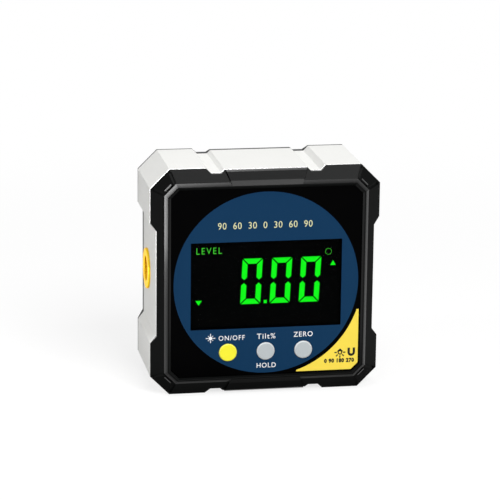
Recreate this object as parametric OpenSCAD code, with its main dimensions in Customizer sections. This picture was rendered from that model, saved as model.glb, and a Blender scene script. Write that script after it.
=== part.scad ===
// Digital angle gauge: a square measuring box. An extruded frame carries four notched measuring
// faces with magnets behind their pads. A moulded bezel holds the display and three keys, two beam
// ports open in the side recesses, and the back cover has a battery bay with a hinged door.
// X runs to the right, Y from the face to the back and Z up. The base pads stand on z = 0.

/* [Frame] */
// Width and height across the measuring pads
body_w = 60; // [59.5:0.5:72]
// Length of the extruded frame from front seam to rear seam
frame_depth = 23.6; // [22.6:0.2:32]
// Wall between a measuring pad and the cavity
frame_wall = 4.5; // [3.9:0.1:4.7]
// Leg of the 45 degree cut on each corner
corner_cut = 5; // [4:0.1:6]
// Chamfer on the cut ends of the extrusion
frame_edge = 0.35; // [0.1:0.05:0.5]

/* [Measuring faces] */
// Width of the raised middle of the top and bottom faces
plateau_w = 21.6; // [18:0.2:24]
// Drop of that middle below the pads
plateau_drop = 0.46; // [0.2:0.02:0.8]
// Width of a cross notch's flat floor
notch_floor = 2.6; // [1.6:0.1:3.4]
// Run of the notch's flank beside the middle
notch_flank_in = 0.9; // [0.6:0.1:1.6]
// Run of the notch's flank beside the pad
notch_flank_out = 1.3; // [0.8:0.1:1.8]
// Depth of a cross notch below the pads
notch_depth = 1.3; // [1:0.05:1.8]
// Height of a side recess along its flat floor
recess_h = 28; // [24:0.5:31]
// Run of a side recess's sloped end
recess_flank = 2; // [1.2:0.1:2.8]
// Depth of a side recess below the side pads
recess_depth = 1.53; // [1.2:0.01:1.8]

/* [Bezel] */
// Depth of the bezel in front of the frame
bezel_depth = 3; // [2.9:0.05:3.4]
// Straight edge of the bezel before its slope
bezel_edge = 0.2; // [0.1:0.05:0.5]
// Distance in from the edge to the foot of the rim
slope_run = 3.4; // [3:0.1:3.6]
// Rise of the slope from the seam to the foot of the rim
slope_rise = 2.2; // [1.8:0.1:2.4]
// Distance in from the edge to the top of the rim
rim_outer = 4.2; // [4:0.05:4.4]
// Distance in from the edge to the panel opening
rim_inner = 5; // [4.9:0.05:5.4]
// Width of the bevel on the rim's inner edge
rim_bevel = 0.5; // [0.3:0.05:0.55]
// Drop of that bevel towards the panel
rim_bevel_drop = 0.28; // [0.1:0.02:0.4]
// Rise of a middle facet at its outer edge
facet_edge = 1.1; // [0.8:0.05:1.3]
// Rise of a middle facet at the rim's wider foot
facet_rise = 2.1; // [1.8:0.05:2.3]
// Distance in from the edge to the rim's wider foot
facet_run = 2.8; // [2.5:0.1:3]
// Inward lean of a middle facet's ends
facet_lean = 1.7; // [0.8:0.1:2]
// Chamfer along a middle facet's outer edge
facet_chamfer = 0.35; // [0.2:0.05:0.45]
// Width of the grooves beside the bezel's corners and its middle facets
groove_w = 0.35; // [0.2:0.05:0.5]
// Depth of those grooves
groove_depth = 0.35; // [0.2:0.05:0.4]
// Width of the bevel from a groove up to its corner
groove_bevel = 0.5; // [0.3:0.05:0.7]
// Distance in from the edge to the outer end of a corner's groove
groove_start = 0.6; // [0.5:0.05:0.9]
// Length of the slot on each bezel corner
slot_len = 2.3; // [1.8:0.1:3]
// Width of the slot on each bezel corner
slot_w = 0.5; // [0.4:0.05:0.8]
// Depth of the slot on each bezel corner
slot_depth = 0.45; // [0.2:0.05:0.7]
// Width of the rib along the slot's outer edge
rib_w = 0.4; // [0.3:0.05:0.6]
// Width of that rib's flat top
rib_top = 0.1; // [0.05:0.01:0.2]
// Height of that rib above the slot's outer edge
rib_h = 0.08; // [0.04:0.01:0.15]
// Length of the lips that centre the bezel and the cover in the frame
lip_len = 1.8; // [1.2:0.1:2.2]
// Thickness of those lips
lip_t = 1.2; // [0.8:0.1:1.4]

/* [Panel and display] */
// Thickness of the face panel
panel_t = 1; // [0.8:0.05:1.2]
// Depth of the panel below the rim
panel_drop = 0.6; // [0.5:0.05:0.7]
// Thickness of a printed field
print_t = 0.05; // [0.03:0.01:0.08]
// Distance from the panel's side edge to the blue dial field
dial_margin = 0.65; // [0.5:0.05:2]
// Height of the dial's middle below the panel's middle
dial_drop = 0.25; // [0:0.05:0.4]
// Distance from the panel opening to the corner field
corner_inset = 0.45; // [0.3:0.05:1.5]
// Width of the black band between the dial and the corner field
corner_band = 1.05; // [0.6:0.05:2]
// Distance from the face's middle lines to the corner field's blunt tips
corner_tip = 8.2; // [7.6:0.1:12]
// Width of the dial's print beside the lower corners of the display's window
dial_land = 1.25; // [0.8:0.05:2]
// Border of the display cell above and below its window
view_border_z = 1.75; // [1.2:0.05:3]
// Height of the display's middle below the panel's middle
display_drop = 0.7; // [0:0.05:0.8]
// Distance from the case's side to the display cell
display_margin = 8; // [7.2:0.1:9]
// Space between the display's holder and the switches
switch_gap = 1.1; // [0.6:0.1:2]
// Thickness of the display cell
lcd_t = 2; // [1.6:0.1:2.4]
// Thickness of the light guide behind the cell
backlight_t = 2.5; // [2:0.1:3]
// Wall of the holder round the display
holder_wall = 1.1; // [0.8:0.1:1.2]
// Width of the contact strip below the light guide
zebra_w = 1.8; // [1.2:0.1:2.2]

/* [Keys] */
// Diameter of a key
key_d = 4.65; // [4.4:0.05:5]
// Distance between neighbouring keys
key_pitch = 9.95; // [9.6:0.05:10.4]
// Distance from the panel's lower edge to the middle of the keys
key_margin = 6.3; // [6.2:0.1:7]
// Height of a key above the panel
key_proud = 0.4; // [0.3:0.05:0.5]
// Diameter of a key's flange behind the panel
key_flange_d = 6.2; // [5.8:0.1:6.4]
// Thickness of a key's flange
key_flange_t = 0.6; // [0.5:0.05:0.8]
// Diameter of a key's stem
key_stem_d = 2.4; // [2:0.1:3]
// Clear space round a key in the panel
key_gap = 0.1; // [0.08:0.01:0.15]
// Width of a switch body
switch_w = 4.6; // [4.2:0.1:4.8]
// Height of a switch body
switch_h = 2; // [1.8:0.05:2.2]
// Diameter of a switch plunger
plunger_d = 1.8; // [1.5:0.1:2.2]
// Height of a plunger above its switch body
plunger_proud = 0.6; // [0.5:0.05:0.7]
// Free depth under a plunger at rest
plunger_room = 0.5; // [0.45:0.05:0.6]
// Floor of a switch body
switch_floor = 0.3; // [0.2:0.05:0.4]

/* [Circuit board] */
// Thickness of the circuit board
board_t = 1.6; // [1.2:0.1:2]
// Gap from the board's edge to the frame
board_gap = 0.9; // [0.6:0.1:1.2]
// Half distance between the board bosses across
boss_x = 5; // [4.9:0.05:5.1]
// Distance from the board's edge to the middle of a boss
boss_edge = 2.6; // [2.4:0.05:2.8]
// Diameter of a board boss
boss_d = 3.6; // [3.2:0.1:3.8]
// Diameter of a board screw's shank
board_screw_d = 2; // [1.6:0.1:2.2]
// Diameter of a board screw's head
board_head_d = 3.8; // [3.2:0.1:4]
// Height of a board screw's head
board_head_h = 1.3; // [1:0.1:1.6]
// Length of a board screw's shank
board_screw_len = 4.6; // [4:0.1:5]
// Width of the controller chip
chip_w = 10; // [8:0.5:12]
// Height of the controller chip
chip_h = 1.6; // [1.2:0.1:2]
// Width of the tilt sensor
sensor_w = 5; // [4:0.5:6]
// Height of the tilt sensor
sensor_h = 1.5; // [1:0.1:2]
// Height of the controller chip's middle above the board's middle
chip_up = 8; // [7.5:0.1:9]
// Height of the tilt sensor's middle below the board's middle
sensor_down = 6; // [5:0.1:8]
// Length of a chip resistor
resistor_len = 1.6; // [1:0.1:2]
// Pitch of the row of resistors
resistor_pitch = 3; // [2.4:0.1:4]
// Height of the row of resistors below the board's middle
resistor_down = 12; // [10:0.5:14]
// Diameter of the clock crystal
crystal_d = 3; // [2:0.1:3.2]
// Length of the clock crystal
crystal_len = 8; // [6:0.5:9]
// Diameter of the round capacitor
capacitor_d = 4; // [3:0.1:5]
// Height of the round capacitor
capacitor_h = 3; // [2:0.1:4]
// Distance of the crystal and the capacitor from the board's middle, across
part_x = 11; // [9:0.5:12]
// Height of the crystal and the capacitor above the board's middle
part_up = 9; // [8.5:0.1:10]

/* [Beam ports] */
// Outer diameter of a port ring's flange
ring_d = 10.7; // [10:0.1:12]
// Inner diameter of a port ring
ring_bore = 6.5; // [5.8:0.1:6.9]
// Height of a ring's flange above the recess
ring_proud = 0.6; // [0.4:0.05:1]
// Outer diameter of a ring's sleeve
sleeve_d = 8.5; // [8.2:0.1:9]
// Length of the sleeve past the wall
sleeve_past = 0.5; // [0.3:0.1:1]
// Step that holds the lens in the sleeve
lens_step = 0.5; // [0.3:0.1:0.8]
// Thickness of a beam port's lens
lens_t = 1; // [0.6:0.1:1.4]
// Length of the step behind the lens
lens_back = 1.4; // [1:0.1:1.8]
// Diameter of a beam module's barrel
barrel_d = 8; // [7:0.1:8.2]
// Length of a beam module's barrel
barrel_len = 13; // [10:0.5:16]
// Distance of the beam axis in front of the frame's rear end
beam_back = 8.1; // [7.9:0.05:8.5]
// Diameter of the barrel's beam hole
beam_hole_d = 3; // [2:0.1:4]
// Depth of the barrel's beam hole
beam_hole_len = 2.5; // [1:0.1:4]
// Diameter of a lead wire
lead_d = 0.8; // [0.6:0.05:1]
// Distance between a module's two leads
lead_pitch = 2.4; // [1.6:0.1:4]
// Straight length of a lead behind its barrel
lead_run = 1.6; // [1:0.1:2.4]

/* [Magnets] */
// Diameter of a magnet disc
magnet_d = 6; // [5:0.1:6.4]
// Thickness of a magnet disc
magnet_t = 2.5; // [1.5:0.1:2.7]
// Distance from a pad's outer end to its magnet's edge
magnet_edge = 2; // [1.9:0.1:2.2]

/* [Back cover] */
// Depth of the cover behind the frame
back_depth = 3.4; // [3.3:0.1:4.2]
// Straight edge of the cover before its slope
back_edge = 0.4; // [0.2:0.05:0.6]
// Inward run of the cover's slope
back_run = 3; // [2:0.1:3.2]
// Diameter of a screw post
post_d = 5.5; // [5:0.1:5.6]
// Distance from the cavity's wall to a screw post's axis
post_inset = 5; // [4.9:0.05:5.1]
// Diameter of a cover screw's shank
screw_d = 2.5; // [2:0.1:2.8]
// Length of a cover screw's shank
screw_len = 12; // [8:0.5:14]
// Diameter of a cover screw's head
screw_head_d = 4.4; // [4:0.1:4.5]
// Height of a cover screw's head
screw_head_h = 1.6; // [1.2:0.1:1.7]
// Depth of a screw head's seat
screw_seat = 1.9; // [1.7:0.05:2]
// Width of the cross in a screw head
cross_w = 0.5; // [0.3:0.05:0.7]

/* [Battery bay] */
// Distance from the frame's wall to the inner end of the bay
bay_side = 1.2; // [1.1:0.05:1.6]
// Space between a trough and the screw posts
bay_post_gap = 0.75; // [0.4:0.05:1]
// Half the gap between the troughs, where the beam modules lie
beam_room = 4.6; // [4.4:0.05:5]
// Diameter of a cell's raised terminal
cell_tip_d = 3.8; // [3.4:0.1:4.4]
// Height of a cell's raised terminal
cell_tip_h = 0.9; // [0.7:0.1:1.2]
// Clear space round a cell
cell_gap = 0.25; // [0.15:0.05:0.3]
// Wall of the bay
bay_wall = 0.7; // [0.6:0.05:0.75]
// Room for a contact spring at the flat end of a cell
spring_room = 3.5; // [3.3:0.1:3.6]
// Thickness of the contact sheet
contact_t = 0.3; // [0.2:0.05:0.4]
// Width of a contact's tail to the board
tail_w = 3; // [2:0.2:4]
// Diameter of the spring wire
wire_d = 0.5; // [0.4:0.05:0.7]
// Number of turns of a contact spring
spring_turns = 3; // [2:1:4]
// Thickness of the battery door
door_t = 2; // [1.9:0.05:2.2]
// Clear space round the battery door
door_gap = 0.2; // [0.15:0.01:0.25]
// Diameter of the door's pivot pins
pin_d = 1; // [0.8:0.05:1.1]
// Length of the door's pivot pins
pin_len = 1; // [0.7:0.05:1.2]
// Radial play of the pivot pins
pin_play = 0.05; // [0.02:0.01:0.08]
// Width of the door's thumb catch
catch_w = 10; // [7:0.5:14]
// Length of the door's thumb catch
catch_len = 7; // [5:0.5:9]

/* [Fits] */
// Play between a lip and the frame
lip_play = 0.15; // [0.1:0.01:0.25]
// Play between the panel and its opening
panel_play = 0.1; // [0.05:0.01:0.15]
// Play of a seated or glued piece
seat_play = 0.05; // [0.03:0.01:0.08]
// Play of a piece set loosely into an opening
loose_play = 0.3; // [0.2:0.02:0.35]

/* [Hidden] */
$fn = 64;

// Overrun of a cut past the face that it opens
cut = 0.5;
half = body_w / 2;

// Depths along Y, from the rim at the front to the cover at the back
overall_depth = bezel_depth + frame_depth + back_depth;
y_front = -overall_depth / 2;
y_seam = y_front + bezel_depth;
y_rear = y_seam + frame_depth;
y_back = y_rear + back_depth;
y_panel = y_front + panel_drop;
y_panel_back = y_panel + panel_t;
y_lcd = y_panel_back + 2 * seat_play;
y_backlight = y_lcd + lcd_t;
y_board = y_backlight + backlight_t;
y_board_back = y_board + board_t;
y_beam = y_rear - beam_back;
y_door = y_back - door_t;

// Cavity and the places inside it
cavity_half = half - frame_wall;
board_half = cavity_half - board_gap;
boss_z = board_half - boss_edge;
post_at = cavity_half - post_inset;
post_clear = 0.4;
board_cut = 2 * board_half - 2 * post_at + sqrt(2) * (post_d / 2 + post_clear);
panel_half = half - rim_inner - panel_play;
dial_d = 2 * (panel_half - dial_margin);
key_drop = panel_half - key_margin;
lcd_w = body_w - 2 * display_margin;
lcd_h = 2 * (key_drop - switch_w / 2 - switch_gap - holder_wall - seat_play - display_drop);
window_h = lcd_h - 2 * view_border_z;
window_low = window_h / 2 + display_drop - dial_drop;
window_w = 2 * (sqrt(dial_d * dial_d / 4 - window_low * window_low) - dial_land);
recess_face = half - recess_depth;
magnet_at = half - corner_cut - magnet_edge - magnet_d / 2;

// Battery bay: the cells fill the room between the beam modules, the posts and the side walls
bay_half = cavity_half - bay_side;
cell_len = 2 * (bay_half - contact_t) - spring_room;
trough_far = post_at - post_d / 2 - bay_post_gap;
cell_offset = (trough_far + beam_room) / 2;
trough_r = (trough_far - beam_room) / 2 - bay_wall;
cell_d = 2 * (trough_r - cell_gap);
contact_clear = 0.15;
contact_w = sqrt(2) * (trough_r - contact_clear);
bay_top = cell_offset + trough_r;
door_clear = 0.1;
y_bay_rim = y_door - door_clear;
cell_door_gap = 0.35;
y_cell = y_door - cell_door_gap - cell_d / 2;
web_gap = 0.9;
web_t = 1;
y_web = y_beam + barrel_d / 2 + web_gap + web_t;
barrel_r = door_t / 2;
y_pivot = y_door + barrel_r;
pivot_at = bay_top - bay_wall / 2;
door_low = bay_top + bay_wall;
door_half = bay_half + door_clear;

// Keys
switch_bore = plunger_d + 2 * key_gap;
y_switch = y_board - switch_h;
y_plunger = y_switch - plunger_proud;

function reversed(q) = [for (i = [len(q) - 1 : -1 : 0]) q[i]];
function flipped(q, sx, sz) = [for (p = q) [sx * p[0], sz * p[1]]];
function all_round(q) =
    concat(q, reversed(flipped(q, 1, -1)), flipped(q, -1, -1), reversed(flipped(q, -1, 1)));
function unit(v) = v / norm(v);
function inward(a, b) = let (d = unit(b - a)) [d[1], -d[0]];
// Outline moved in by a distance, with mitred corners
function moved_in(q, d) = let (n = len(q)) [
    for (i = [0 : n - 1])
        let (
            before = inward(q[(i + n - 1) % n], q[i]),
            after = inward(q[i], q[(i + 1) % n])
        )
        q[i] + d * (before + after) / (1 + before * after)
];

// Plain square with cut corners
octagon = all_round([[half - corner_cut, half], [half, half - corner_cut]]);

// One quarter of the frame's outline, from the top middle to the right middle
notch_in_at = plateau_w / 2 + notch_flank_in;
notch_out_at = notch_in_at + notch_floor;
outline = all_round([
    [plateau_w / 2, half - plateau_drop],
    [notch_in_at, half - notch_depth],
    [notch_out_at, half - notch_depth],
    [notch_out_at + notch_flank_out, half],
    [half - corner_cut, half],
    [half, half - corner_cut],
    [half, recess_h / 2 + recess_flank],
    [half - recess_depth, recess_h / 2]
]);

// Face view at depth y: x right, y up and z towards the viewer, about the middle of the face
module face_at(y) translate([0, y, half]) rotate([90, 0, 0]) children();

// Side view at the right wall's middle: z points out to the right along the beam
module port_at(x) translate([x, y_beam, half]) rotate([0, 90, 0]) children();

module left_side() mirror([1, 0, 0]) children();

module four_corners(x, z) {
    for (sx = [-1, 1], sz = [-1, 1]) translate([sx * x, sz * z, 0]) children();
}

// Outline stacked through levels of [distance in, height]
module stack(q, levels) {
    n = len(q);
    last = len(levels) - 1;
    points = [for (l = levels) for (p = moved_in(q, l[0])) [p[0], p[1], l[1]]];
    sides = [
        for (k = [0 : last - 1], i = [0 : n - 1])
            let (j = (i + 1) % n)
            [k * n + i, k * n + j, (k + 1) * n + j, (k + 1) * n + i]
    ];
    floor_face = [for (i = [n - 1 : -1 : 0]) i];
    roof_face = [for (i = [0 : n - 1]) last * n + i];
    polyhedron(points, concat([floor_face], sides, [roof_face]));
}

// Ring that follows the cut square between two distances in from the edge
module square_ring(outer_in, inner_in, h) {
    difference() {
        linear_extrude(h) polygon(moved_in(octagon, outer_in));
        translate([0, 0, -cut]) linear_extrude(h + 2 * cut) polygon(moved_in(octagon, inner_in));
    }
}

module plate(w, h, t) translate([-w / 2, -h / 2, 0]) cube([w, h, t]);

// Turned piece about the line of sight, from a profile of [radius, height]
module turned(profile) rotate_extrude() polygon(profile);

// Frame: cut length of extrusion with its cavity, magnet pockets and beam bores
module frame() {
    pocket_depth = magnet_t + seat_play;
    bulge = 0.3;
    color("#dcdcd8")
    difference() {
        face_at(y_rear) intersection() {
            linear_extrude(frame_depth) polygon(outline);
            stack(outline, [
                [frame_edge + bulge, -bulge],
                [-bulge, frame_edge + bulge],
                [-bulge, frame_depth - frame_edge - bulge],
                [frame_edge + bulge, frame_depth + bulge]
            ]);
        }
        face_at(y_rear + cut)
            linear_extrude(frame_depth + 2 * cut) polygon(moved_in(octagon, frame_wall));
        for (side = [0 : 3]) magnet_places(side) {
            translate([0, 0, cavity_half - cut])
                cylinder(d = magnet_d + 2 * seat_play, h = pocket_depth + cut);
        }
        port_at(cavity_half - cut) cylinder(d = sleeve_d + 2 * seat_play, h = frame_wall + 2 * cut);
        left_side() port_at(cavity_half - cut)
            cylinder(d = sleeve_d + 2 * seat_play, h = frame_wall + 2 * cut);
    }
}

// Two places behind the pads of one face: 0 top, 1 right, 2 bottom, 3 left
module magnet_places(side) {
    y_magnet = (y_seam + y_rear) / 2;
    translate([0, y_magnet, half]) rotate([0, 90 * side, 0]) {
        for (s = [-1, 1]) translate([s * magnet_at, 0, 0]) children();
    }
}

module magnet_pair(side) {
    color("#9a9da2")
    magnet_places(side) translate([0, 0, cavity_half + seat_play])
        cylinder(d = magnet_d, h = magnet_t);
}

// Bezel: sloped shell with a raised rim, panel seat, display opening, lip, posts and bosses
module front_bezel() {
    floor_t = y_seam - y_panel_back;
    post_len = y_rear - y_seam + floor_t / 2;
    boss_len = y_board - y_seam + floor_t / 2;
    color("#17191b")
    difference() {
        union() {
            bezel_shell();
            corner_ribs();
            face_at(y_seam + lip_len) square_ring(
                frame_wall + lip_play, frame_wall + lip_play + lip_t, lip_len + floor_t / 2);
            face_at(y_rear) four_corners(post_at, post_at) cylinder(d = post_d, h = post_len);
            face_at(y_board) four_corners(boss_x, boss_z) cylinder(d = boss_d, h = boss_len);
        }
        panel_seat();
        face_at(y_seam + cut) translate([0, -display_drop, 0])
            plate(lcd_w + 2 * loose_play, lcd_h + 2 * loose_play, floor_t + 2 * cut);
        face_at(y_seam + cut) key_places()
            cylinder(d = key_flange_d + 4 * key_gap, h = floor_t + 2 * cut);
        face_at(y_rear + cut) four_corners(post_at, post_at)
            cylinder(d = screw_d + 2 * seat_play, h = screw_len + cut);
        face_at(y_board + cut) four_corners(boss_x, boss_z)
            cylinder(d = board_screw_d + 2 * seat_play, h = board_screw_len - board_t + 2 * cut);
        corner_slots();
        corner_grooves();
        facet_grooves();
    }
}

module panel_seat() {
    seat_depth = panel_t + panel_drop;
    face_at(y_panel_back) stack(octagon, [
        [rim_inner, 0],
        [rim_inner, seat_depth - rim_bevel_drop],
        [rim_inner - rim_bevel * (1 + cut / rim_bevel_drop), seat_depth + cut]
    ]);
}

// Slopes all round, with a raised facet on the middle of the top and bottom, inside the frame's outline
module bezel_shell() {
    overrun = 2;
    face_at(y_seam)
    intersection() {
        linear_extrude(bezel_depth + cut) polygon(outline);
        union() {
            stack(octagon, [
                [-overrun, slope_at(-overrun)],
                [slope_run, slope_rise],
                [rim_outer, bezel_depth]
            ]);
            for (a = [0, 180]) rotate([0, 0, a]) middle_facet();
        }
    }
}

// Rise of the slope above the seam, at a distance in from the edge
function slope_at(s) = bezel_edge + s * (slope_rise - bezel_edge) / slope_run;

// Facet between two leaning ends, from its outer edge in to the top of the rim
module middle_facet() {
    w = plateau_w;
    slope = (facet_rise - facet_edge) / (facet_run - plateau_drop);
    overrun = 1;
    intersection() {
        translate([-w, 0, 0]) rotate([90, 0, 90]) linear_extrude(2 * w) polygon([
            [half - plateau_drop + overrun, -overrun],
            [half - plateau_drop + overrun, facet_edge - facet_chamfer - overrun],
            [half - plateau_drop - facet_chamfer, facet_edge + facet_chamfer * slope],
            [half - facet_run, facet_rise],
            [half - rim_outer, bezel_depth],
            [half - rim_outer, -overrun]
        ]);
        translate([0, 0, -overrun]) linear_extrude(bezel_depth + 2 * overrun) polygon([
            [-w / 2, half],
            [w / 2, half],
            [w / 2 - facet_lean, half - rim_outer],
            [facet_lean - w / 2, half - rim_outer]
        ]);
    }
}

// Groove at both ends of each middle facet, as deep below the slope all along
module facet_grooves() {
    near = plateau_w / 2 - groove_w / 4;
    lean = facet_lean * slope_run / rim_outer;
    face_at(y_seam) for (a = [0, 180], side = [0, 1]) rotate([0, 0, a]) mirror([side, 0, 0])
        intersection() {
            rotate([90, 0, 90]) linear_extrude(half) polygon([
                [half, slope_at(0) - groove_depth],
                [half, 2 * bezel_depth],
                [half - slope_run + groove_w, 2 * bezel_depth],
                [half - slope_run + groove_w, slope_at(slope_run - groove_w) - groove_depth]
            ]);
            linear_extrude(2 * bezel_depth) polygon([
                [near, half],
                [near + groove_w, half],
                [near + groove_w - lean, half - slope_run],
                [near - lean, half - slope_run]
            ]);
        }
}

// Groove along each line where a corner's slope meets a side's, bevelled up to the corner
module corner_grooves() {
    mitre = 22.5;
    run = slope_run / cos(mitre);
    pitch = atan((slope_rise - bezel_edge) / run);
    fall = sin(mitre) * (slope_rise - bezel_edge) / slope_run;
    inner_end = run - groove_w;
    length = (inner_end - groove_start / cos(mitre)) / cos(pitch);
    bevel_end = groove_w / 2 + groove_bevel;
    face_at(y_seam) for (a = [0 : 90 : 270], side = [0, 1]) rotate([0, 0, a]) mirror([side, 0, 0])
        translate([half - corner_cut, half, 0]) rotate([0, 0, 90 - mitre])
        translate([-inner_end, 0, slope_rise - groove_w * tan(pitch)]) rotate([0, pitch, 0])
        rotate([90, 0, 90]) linear_extrude(length) polygon([
            [groove_w / 2, bezel_depth],
            [-bevel_end, bezel_depth],
            [-bevel_end, -fall * bevel_end],
            [-groove_w / 2, -groove_depth],
            [groove_w / 2, -groove_depth]
        ]);
}

// Places something on each bezel corner, with X pointing out from the rim's foot
module bezel_corners() {
    corner_far = (2 * half - corner_cut) / sqrt(2);
    face_at(y_seam) for (a = [45 : 90 : 315]) rotate([0, 0, a])
        translate([corner_far - slope_run, 0, 0]) children();
}

// Short slot between the slope and the rim on each corner
module corner_slots() {
    bezel_corners()
        translate([0, -slot_len / 2, slope_at(slope_run - slot_w) - slot_depth])
        cube([slot_w, slot_len, bezel_depth]);
}

// Low rib along the outer edge of each slot, leaning out to meet the slope
module corner_ribs() {
    crest = slope_at(slope_run - slot_w) + rib_h;
    foot = slope_at(slope_run - slot_w - rib_w);
    sink = foot - rib_h;
    bezel_corners()
        translate([slot_w, slot_len / 2, 0]) rotate([90, 0, 0]) linear_extrude(slot_len) polygon([
            [0, sink],
            [rib_w, sink],
            [rib_w, foot],
            [rib_top, crest],
            [0, crest]
        ]);
}

// Panel: flat sheet with the window and the key holes
module face_panel() {
    color("#050506")
    face_at(y_panel_back)
    difference() {
        linear_extrude(panel_t) polygon(moved_in(octagon, rim_inner + panel_play));
        translate([0, -display_drop, -cut]) plate(window_w, window_h, panel_t + 2 * cut);
        key_holes(panel_t);
    }
}

module key_places() {
    for (k = [-1, 0, 1]) translate([k * key_pitch, -key_drop, 0]) children();
}

module key_holes(t) {
    translate([0, 0, -cut]) key_places() cylinder(d = key_d + 2 * key_gap, h = t + 2 * cut);
}

module dial_print() {
    color("#153858")
    face_at(y_panel)
    difference() {
        translate([0, -dial_drop, 0]) cylinder(d = dial_d, h = print_t, $fn = 128);
        translate([0, -display_drop, -cut]) plate(window_w, window_h, print_t + 2 * cut);
        key_holes(print_t);
    }
}

// Yellow field in the lower right corner: it follows the panel's edge and the dial, with blunt tips
module corner_print() {
    color("#ffe255")
    face_at(y_panel)
    difference() {
        intersection() {
            linear_extrude(print_t) polygon(moved_in(octagon, rim_inner + corner_inset));
            translate([corner_tip, -half, -cut]) cube([half - corner_tip, half - corner_tip, print_t + 2 * cut]);
        }
        translate([0, -dial_drop, -cut])
            cylinder(r = dial_d / 2 + corner_band, h = print_t + 2 * cut, $fn = 128);
    }
}

module display_window() {
    color("#20242880")
    face_at(y_panel_back) translate([0, -display_drop, 0])
        plate(window_w - 2 * seat_play, window_h - 2 * seat_play, panel_t);
}

// Display cell: two glass plates, the rear one shorter so that a contact ledge is left below
module lcd_cell() {
    color("#0a0c0c")
    face_at(y_backlight) translate([0, -display_drop, 0]) {
        translate([0, 0, lcd_t / 2]) plate(lcd_w, lcd_h, lcd_t / 2);
        translate([0, zebra_w / 2, 0]) plate(lcd_w, lcd_h - zebra_w, lcd_t);
    }
}

module lcd_backlight() {
    color("#e9f2e4")
    face_at(y_board) translate([0, zebra_w / 2 - display_drop, 0])
        plate(lcd_w, lcd_h - zebra_w, backlight_t);
}

module zebra_strip() {
    color("#c8a8a0")
    face_at(y_board) translate([0, (zebra_w - lcd_h) / 2 - display_drop, 0])
        plate(lcd_w - 4 * zebra_w, zebra_w - 2 * seat_play, backlight_t + lcd_t / 2);
}

// Holder: frame round the display stack between the board and the bezel's floor
module lcd_holder() {
    inner_w = lcd_w + 2 * seat_play;
    inner_h = lcd_h + 2 * seat_play;
    h = y_board - y_seam - seat_play;
    color("#f1f1ee")
    face_at(y_board) translate([0, -display_drop, 0])
    difference() {
        plate(inner_w + 2 * holder_wall, inner_h + 2 * holder_wall, h);
        translate([0, 0, -cut]) plate(inner_w, inner_h, h + 2 * cut);
    }
}

// Key: rounded cap through the panel, flange behind it and stem down to the plunger
module key_cap(place, tint) {
    edge = 0.2;
    r = key_d / 2;
    stem_len = y_plunger - y_panel_back - key_flange_t;
    top = stem_len + key_flange_t + panel_t + key_proud;
    color(tint)
    face_at(y_plunger) translate([place * key_pitch, -key_drop, 0]) turned([
        [0, 0],
        [key_stem_d / 2, 0],
        [key_stem_d / 2, stem_len],
        [key_flange_d / 2, stem_len],
        [key_flange_d / 2, stem_len + key_flange_t - seat_play],
        [r, stem_len + key_flange_t - seat_play],
        [r, top - edge],
        [r - edge, top],
        [0, top]
    ]);
}

module key_plunger(place) {
    len = plunger_proud + switch_h - switch_floor - plunger_room;
    color("#2b2b2b")
    face_at(y_plunger + len) translate([place * key_pitch, -key_drop, 0])
        cylinder(d = plunger_d, h = len);
}

module key_switch(place) {
    color("#3a3d40")
    face_at(y_board) translate([place * key_pitch, -key_drop, 0])
    difference() {
        plate(switch_w, switch_w, switch_h);
        translate([0, 0, switch_floor]) cylinder(d = switch_bore, h = switch_h);
    }
}

// Board: square with large corner cuts that clear the screw posts
module main_board() {
    color("#1f6b3a")
    face_at(y_board_back)
    difference() {
        linear_extrude(board_t) polygon(all_round([
            [board_half - board_cut, board_half],
            [board_half, board_half - board_cut]
        ]));
        translate([0, 0, -cut]) four_corners(boss_x, boss_z)
            cylinder(d = board_screw_d + 4 * seat_play, h = board_t + 2 * cut);
    }
}

module controller_chip() {
    color("#1c1c1e")
    face_at(y_board_back + chip_h) translate([0, chip_up, 0]) plate(chip_w, chip_w, chip_h);
}

module tilt_sensor() {
    color("#26262a")
    face_at(y_board_back + sensor_h) translate([0, -sensor_down, 0])
        plate(sensor_w, sensor_w, sensor_h);
}

// Small parts on the back of the board: chip resistors, a crystal and a round capacitor
module board_parts() {
    resistor_w = resistor_len / 2;
    resistor_h = resistor_len / 3;
    color("#b9a06a")
    face_at(y_board_back) {
        for (k = [-2 : 2]) translate([k * resistor_pitch, -resistor_down, -resistor_h])
            plate(resistor_len, resistor_w, resistor_h);
        translate([-part_x, part_up + crystal_len / 2, -crystal_d / 2]) rotate([90, 0, 0])
            cylinder(d = crystal_d, h = crystal_len);
        translate([part_x, part_up, -capacitor_h]) cylinder(d = capacitor_d, h = capacitor_h);
    }
}

// Pan head screw with a cross, its shank pointing to the viewer from the head's seat
module screw(shank_d, shank_len, head_d, head_h) {
    edge = head_h / 4;
    cross_share = 0.6;
    cross_len = cross_share * head_d;
    difference() {
        turned([
            [0, -head_h],
            [head_d / 2 - edge, -head_h],
            [head_d / 2, edge - head_h],
            [head_d / 2, 0],
            [shank_d / 2, 0],
            [shank_d / 2, shank_len - edge],
            [shank_d / 2 - edge, shank_len],
            [0, shank_len]
        ]);
        for (a = [0, 90]) rotate([0, 0, a]) translate([0, 0, -head_h - cut])
            plate(cross_len, cross_w, head_h / 2 + cut);
    }
}

module board_screws() {
    color("#c9ccd0")
    face_at(y_board_back) four_corners(boss_x, boss_z)
        screw(board_screw_d, board_screw_len, board_head_d, board_head_h);
}

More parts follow.
